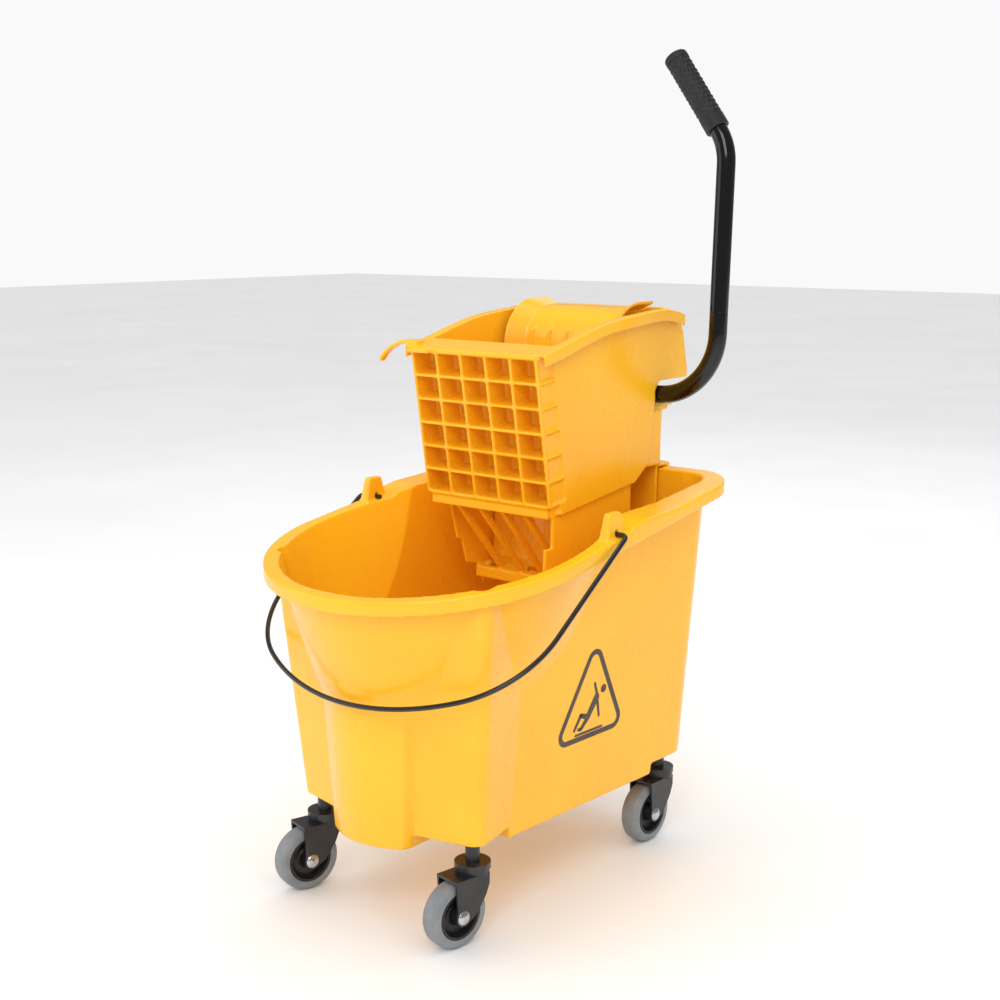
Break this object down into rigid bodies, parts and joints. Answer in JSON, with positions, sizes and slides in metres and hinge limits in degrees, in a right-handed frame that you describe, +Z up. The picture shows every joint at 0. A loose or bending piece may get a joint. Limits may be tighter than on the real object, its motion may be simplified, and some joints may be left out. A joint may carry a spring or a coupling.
{
  "type": "mop bucket with wringer",
  "caption": "Wheeled yellow mop bucket with a lift-off side-press wringer, a bent press lever with a rubber grip, a wire carrying bail and swivel casters.",
  "frame": {"origin": "on the floor under the middle of the line between the bail's two pivots", "axes": "+Z up, -Y towards the rounded pouring front, +Y towards the wringer end, +X towards the lever side"},
  "size_m": [0.4074, 0.561, 0.9725],
  "materials": {
    "yellow_plastic": "moulded, glossy",
    "black_wire": "powder coated wire",
    "black_steel": "black e-coat",
    "black_plastic": "moulded",
    "grey_rubber": "smooth grey tread",
    "zinc_steel": "bright zinc plate",
    "black_tube": "gloss black paint",
    "grip_rubber": "dimpled",
    "white_nylon": "moulded nylon"
  },
  "bodies": {
    "bucket": {"bucket_body": "yellow_plastic", "caster_stem_front_right": "black_steel", "caster_stem_front_left": "black_steel", "caster_stem_rear_right": "black_steel", "caster_stem_rear_left": "black_steel"},
    "bail": {"bail": "black_wire"},
    "wringer": {"wringer_housing": "yellow_plastic", "plate_hinge_pin": "zinc_steel", "shaft_bush_left": "white_nylon", "shaft_bush_right": "white_nylon", "return_spring": "zinc_steel"},
    "press_plate": {"press_plate": "yellow_plastic"},
    "lever": {"lever_tube_lower": "black_tube", "lever_tube_upper": "black_tube", "lever_grip": "grip_rubber", "cam_arm_left": "black_steel", "cam_arm_right": "black_steel", "cam_pad_left": "white_nylon", "cam_pad_right": "white_nylon", "snap_button": "zinc_steel", "shaft_end_cap": "black_plastic", "arm_pins": "zinc_steel"},
    "caster_fork_front_right": {"caster_fork_front_right": "black_steel", "caster_axle_front_right": "zinc_steel"},
    "caster_wheel_front_right": {"caster_wheel_front_right": "black_plastic", "caster_tyre_front_right": "grey_rubber"},
    "caster_fork_front_left": {"caster_fork_front_left": "black_steel", "caster_axle_front_left": "zinc_steel"},
    "caster_wheel_front_left": {"caster_wheel_front_left": "black_plastic", "caster_tyre_front_left": "grey_rubber"},
    "caster_fork_rear_right": {"caster_fork_rear_right": "black_steel", "caster_axle_rear_right": "zinc_steel"},
    "caster_wheel_rear_right": {"caster_wheel_rear_right": "black_plastic", "caster_tyre_rear_right": "grey_rubber"},
    "caster_fork_rear_left": {"caster_fork_rear_left": "black_steel", "caster_axle_rear_left": "zinc_steel"},
    "caster_wheel_rear_left": {"caster_wheel_rear_left": "black_plastic", "caster_tyre_rear_left": "grey_rubber"}
  },
  "joints": [
    {"name": "bail_swing", "type": "hinge", "parent": "bucket", "child": "bail", "pos_m": [0, 0, 0.4355], "axis": [-1, 0, 0], "range_deg": [0, 125]},
    {"name": "wringer_lift", "type": "slide", "parent": "bucket", "child": "wringer", "axis": [0, 0, 1], "range_m": [0, 0.03]},
    {"name": "lever_press", "type": "hinge", "parent": "wringer", "child": "lever", "pos_m": [0, 0.225, 0.562], "axis": [-1, 0, 0], "range_deg": [0, 80], "stiffness_Nm_per_rad": 1, "springref_deg": -40.11},
    {"name": "plate_press", "type": "hinge", "parent": "wringer", "child": "press_plate", "pos_m": [0, 0.11, 0.335], "axis": [1, 0, 0], "range_deg": [0, 18]},
    {"name": "swivel_front_right", "type": "hinge", "parent": "bucket", "child": "caster_fork_front_right", "pos_m": [0.114, -0.16, 0.085], "axis": [0, 0, 1], "continuous": true},
    {"name": "wheel_front_right", "type": "hinge", "parent": "caster_fork_front_right", "child": "caster_wheel_front_right", "pos_m": [0.10948, -0.1856, 0.0375], "axis": [0.9848, -0.1736, 0], "continuous": true},
    {"name": "swivel_front_left", "type": "hinge", "parent": "bucket", "child": "caster_fork_front_left", "pos_m": [-0.114, -0.16, 0.085], "axis": [0, 0, 1], "continuous": true},
    {"name": "wheel_front_left", "type": "hinge", "parent": "caster_fork_front_left", "child": "caster_wheel_front_left", "pos_m": [-0.12117, -0.18499, 0.0375], "axis": [0.9613, -0.2756, 0], "continuous": true},
    {"name": "swivel_rear_right", "type": "hinge", "parent": "bucket", "child": "caster_fork_rear_right", "pos_m": [0.1115, 0.208, 0.085], "axis": [0, 0, 1], "continuous": true},
    {"name": "wheel_rear_right", "type": "hinge", "parent": "caster_fork_rear_right", "child": "caster_wheel_rear_right", "pos_m": [0.11059, 0.18202, 0.0375], "axis": [0.9994, -0.0349, 0], "continuous": true},
    {"name": "swivel_rear_left", "type": "hinge", "parent": "bucket", "child": "caster_fork_rear_left", "pos_m": [-0.1115, 0.208, 0.085], "axis": [0, 0, 1], "continuous": true},
    {"name": "wheel_rear_left", "type": "hinge", "parent": "caster_fork_rear_left", "child": "caster_wheel_rear_left", "pos_m": [-0.11422, 0.18214, 0.0375], "axis": [0.9945, -0.1045, 0], "continuous": true}
  ],
  "couplings": [
    {"joint": "plate_press", "follows": "lever_press", "ratio": 0.225}
  ]
}
